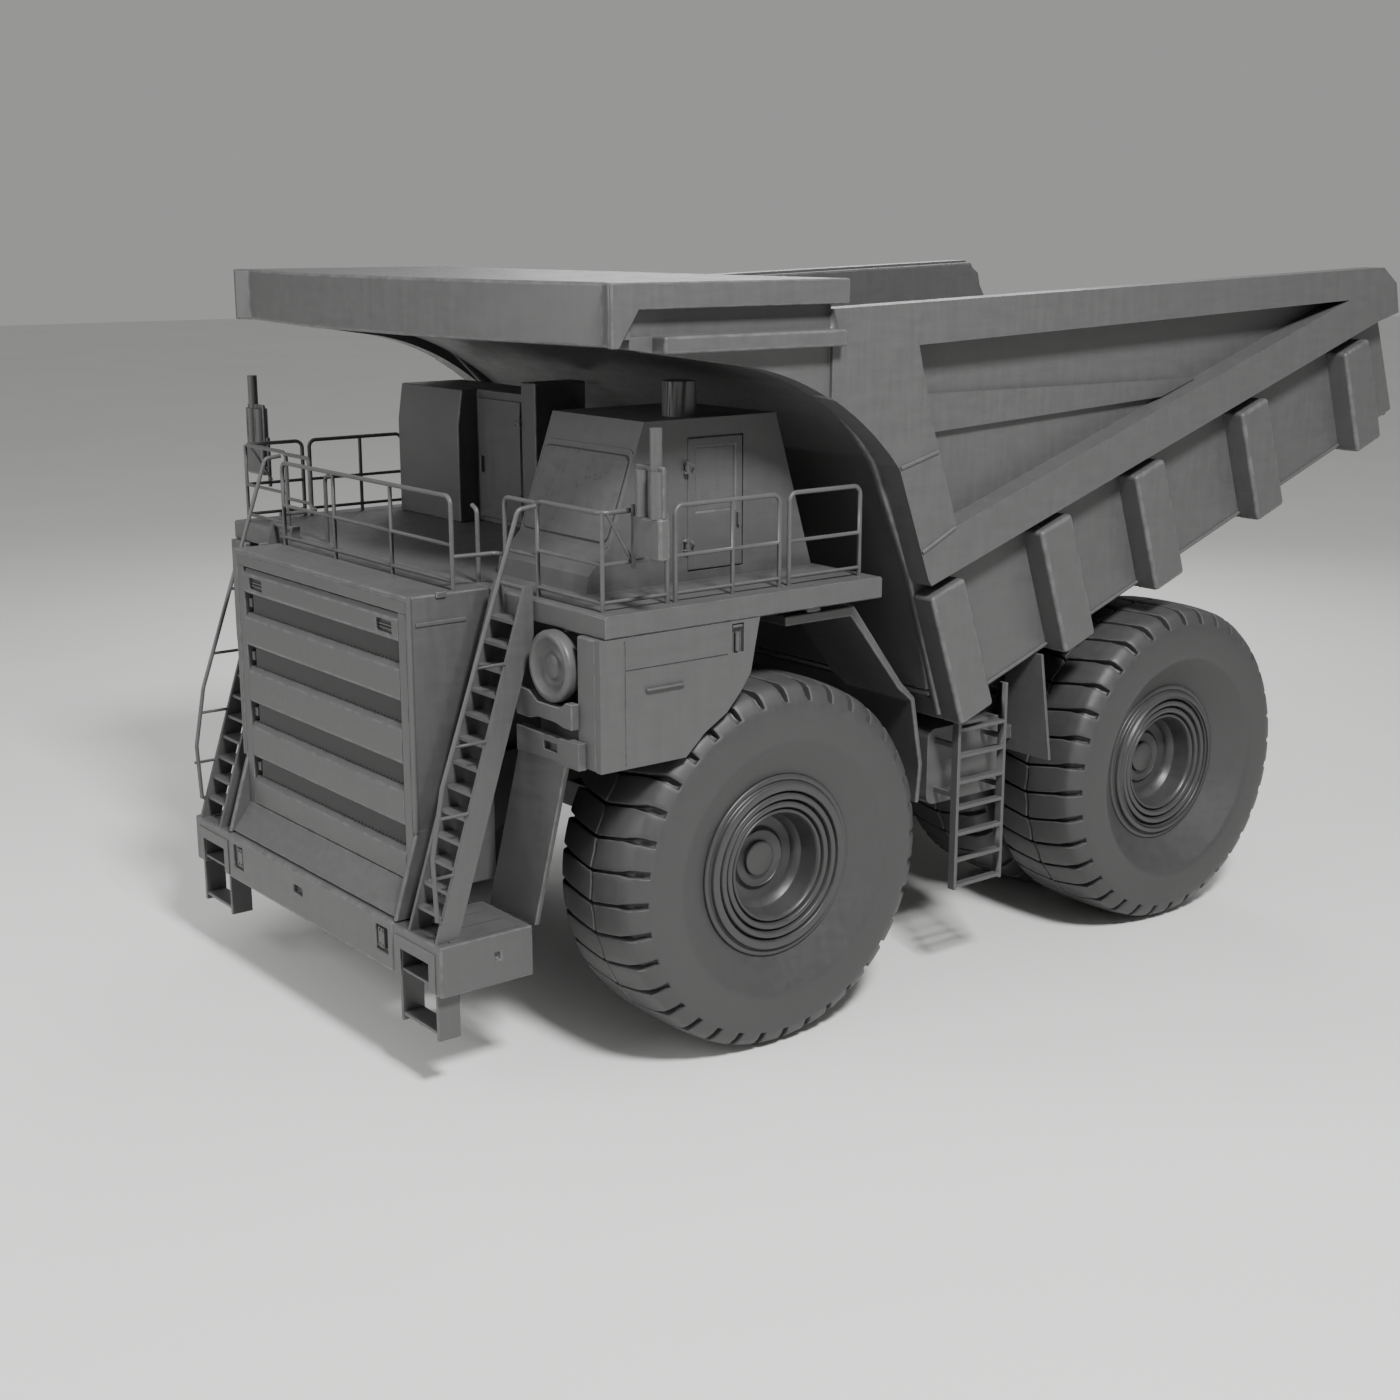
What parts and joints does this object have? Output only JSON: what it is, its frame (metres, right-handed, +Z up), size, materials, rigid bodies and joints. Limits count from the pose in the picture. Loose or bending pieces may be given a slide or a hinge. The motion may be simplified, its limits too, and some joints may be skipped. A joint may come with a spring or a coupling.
{
  "type": "mining dump truck",
  "caption": "Rigid off-highway mining dump truck with tipping ribbed body and canopy, steering front wheels, dual rear wheels, deck, cab, stairs and hoists.",
  "frame": {"origin": "on the ground under the middle of the truck's length, on its centre plane", "axes": "+X the truck's left side, front faces -Y, +Z up"},
  "size_m": [8.76, 14.6471, 8.0398],
  "materials": {
    "tyre": "matte grey, dusty",
    "rim_paint": "matte grey primer",
    "window": "grey, opaque",
    "engine_iron": "matte grey",
    "hoist_steel": "satin grey",
    "dump_body_paint": "matte grey primer",
    "chassis_paint": "matte grey primer"
  },
  "bodies": {
    "root": {"air_cleaners": "chassis_paint", "cab_glass": "window", "cab_shell": "chassis_paint", "chassis_frame": "chassis_paint", "control_cabinet": "chassis_paint", "deck": "chassis_paint", "engine_block": "engine_iron", "front_axle": "chassis_paint", "front_bumper": "chassis_paint", "front_fenders": "chassis_paint", "handrails": "chassis_paint", "mirrors": "chassis_paint", "radiator_grille": "chassis_paint", "radiator_housing": "chassis_paint", "rear_axle": "chassis_paint", "side_boxes": "chassis_paint", "side_tanks": "chassis_paint", "stairs": "chassis_paint", "suspension_struts": "chassis_paint"},
    "knuckle_left": {"knuckle_left": "chassis_paint"},
    "knuckle_right": {"knuckle_right": "chassis_paint"},
    "tie_rod": {"steering_tie_rod": "chassis_paint"},
    "front_wheel_left": {"front_tyre_left": "tyre", "front_rim_left": "rim_paint"},
    "front_wheel_right": {"front_tyre_right": "tyre", "front_rim_right": "rim_paint"},
    "rear_wheels_left": {"rear_tyres_left": "tyre", "rear_rims_left": "rim_paint"},
    "rear_wheels_right": {"rear_tyres_right": "tyre", "rear_rims_right": "rim_paint"},
    "dump_body": {"body_beams": "dump_body_paint", "body_canopy": "dump_body_paint", "body_floor": "dump_body_paint", "body_front_wall": "dump_body_paint", "body_side_frames": "dump_body_paint", "body_side_ribs": "dump_body_paint", "body_side_walls": "dump_body_paint"},
    "cab_door": {"cab_door": "chassis_paint", "cab_door_glass": "window"},
    "cabinet_door": {"cabinet_door": "chassis_paint"},
    "hoist_barrel_left": {"hoist_barrel_left": "chassis_paint"},
    "hoist_tube_left": {"hoist_tube_left": "hoist_steel"},
    "hoist_rod_left": {"hoist_rod_left": "hoist_steel"},
    "hoist_barrel_right": {"hoist_barrel_right": "chassis_paint"},
    "hoist_tube_right": {"hoist_tube_right": "hoist_steel"},
    "hoist_rod_right": {"hoist_rod_right": "hoist_steel"}
  },
  "joints": [
    {"name": "steer_left", "type": "hinge", "parent": "root", "child": "knuckle_left", "pos_m": [2.8, -3.76, 2], "axis": [0, 0, 1], "range_deg": [-32, 32]},
    {"name": "steer_right", "type": "hinge", "parent": "root", "child": "knuckle_right", "pos_m": [-2.8, -3.76, 2], "axis": [0, 0, 1], "range_deg": [-32, 32]},
    {"name": "tie_rod_slide", "type": "slide", "parent": "root", "child": "tie_rod", "axis": [1, 0, 0], "range_m": [-0.2125, 0.2125]},
    {"name": "front_spin_left", "type": "hinge", "parent": "knuckle_left", "child": "front_wheel_left", "pos_m": [3.25, -3.76, 2], "axis": [1, 0, 0], "continuous": true},
    {"name": "rear_spin_left", "type": "hinge", "parent": "root", "child": "rear_wheels_left", "pos_m": [2.43, 2.69, 2], "axis": [1, 0, 0], "continuous": true},
    {"name": "front_spin_right", "type": "hinge", "parent": "knuckle_right", "child": "front_wheel_right", "pos_m": [-3.25, -3.76, 2], "axis": [1, 0, 0], "continuous": true},
    {"name": "rear_spin_right", "type": "hinge", "parent": "root", "child": "rear_wheels_right", "pos_m": [-2.43, 2.69, 2], "axis": [1, 0, 0], "continuous": true},
    {"name": "dump_tilt", "type": "hinge", "parent": "root", "child": "dump_body", "pos_m": [0, 4.44, 4.3], "axis": [-1, 0, 0], "range_deg": [0, 45]},
    {"name": "hoist_swing_left", "type": "hinge", "parent": "root", "child": "hoist_barrel_left", "pos_m": [0.915, 0.39, 1.5], "axis": [-1, 0, 0], "range_deg": [0, 1.88]},
    {"name": "hoist_tube_slide_left", "type": "slide", "parent": "hoist_barrel_left", "child": "hoist_tube_left", "axis": [0, 0.1441, 0.9896], "range_m": [0, 1.4639]},
    {"name": "hoist_rod_slide_left", "type": "slide", "parent": "hoist_tube_left", "child": "hoist_rod_left", "axis": [0, 0.1441, 0.9896], "range_m": [0, 1.4639]},
    {"name": "hoist_swing_right", "type": "hinge", "parent": "root", "child": "hoist_barrel_right", "pos_m": [-0.915, 0.39, 1.5], "axis": [-1, 0, 0], "range_deg": [0, 1.88]},
    {"name": "hoist_tube_slide_right", "type": "slide", "parent": "hoist_barrel_right", "child": "hoist_tube_right", "axis": [0, 0.1441, 0.9896], "range_m": [0, 1.4639]},
    {"name": "hoist_rod_slide_right", "type": "slide", "parent": "hoist_tube_right", "child": "hoist_rod_right", "axis": [0, 0.1441, 0.9896], "range_m": [0, 1.4639]},
    {"name": "cab_door_hinge", "type": "hinge", "parent": "root", "child": "cab_door", "pos_m": [2.965, -4.29, 5.75], "axis": [0, 0, -1], "range_deg": [0, 90]},
    {"name": "cabinet_door_hinge", "type": "hinge", "parent": "root", "child": "cabinet_door", "pos_m": [-1.034, -3.72, 5.8], "axis": [0, 0, 1], "range_deg": [0, 110]}
  ],
  "couplings": [
    {"joint": "steer_right", "follows": "steer_left", "ratio": 1},
    {"joint": "tie_rod_slide", "follows": "steer_left", "m_per_rad": -0.37953},
    {"joint": "hoist_swing_left", "follows": "dump_tilt", "ratio": 0.03962},
    {"joint": "hoist_tube_slide_left", "follows": "dump_tilt", "m_per_rad": 1.8613},
    {"joint": "hoist_rod_slide_left", "follows": "dump_tilt", "m_per_rad": 1.8613},
    {"joint": "hoist_swing_right", "follows": "dump_tilt", "ratio": 0.03962},
    {"joint": "hoist_tube_slide_right", "follows": "dump_tilt", "m_per_rad": 1.8613},
    {"joint": "hoist_rod_slide_right", "follows": "dump_tilt", "m_per_rad": 1.8613}
  ]
}
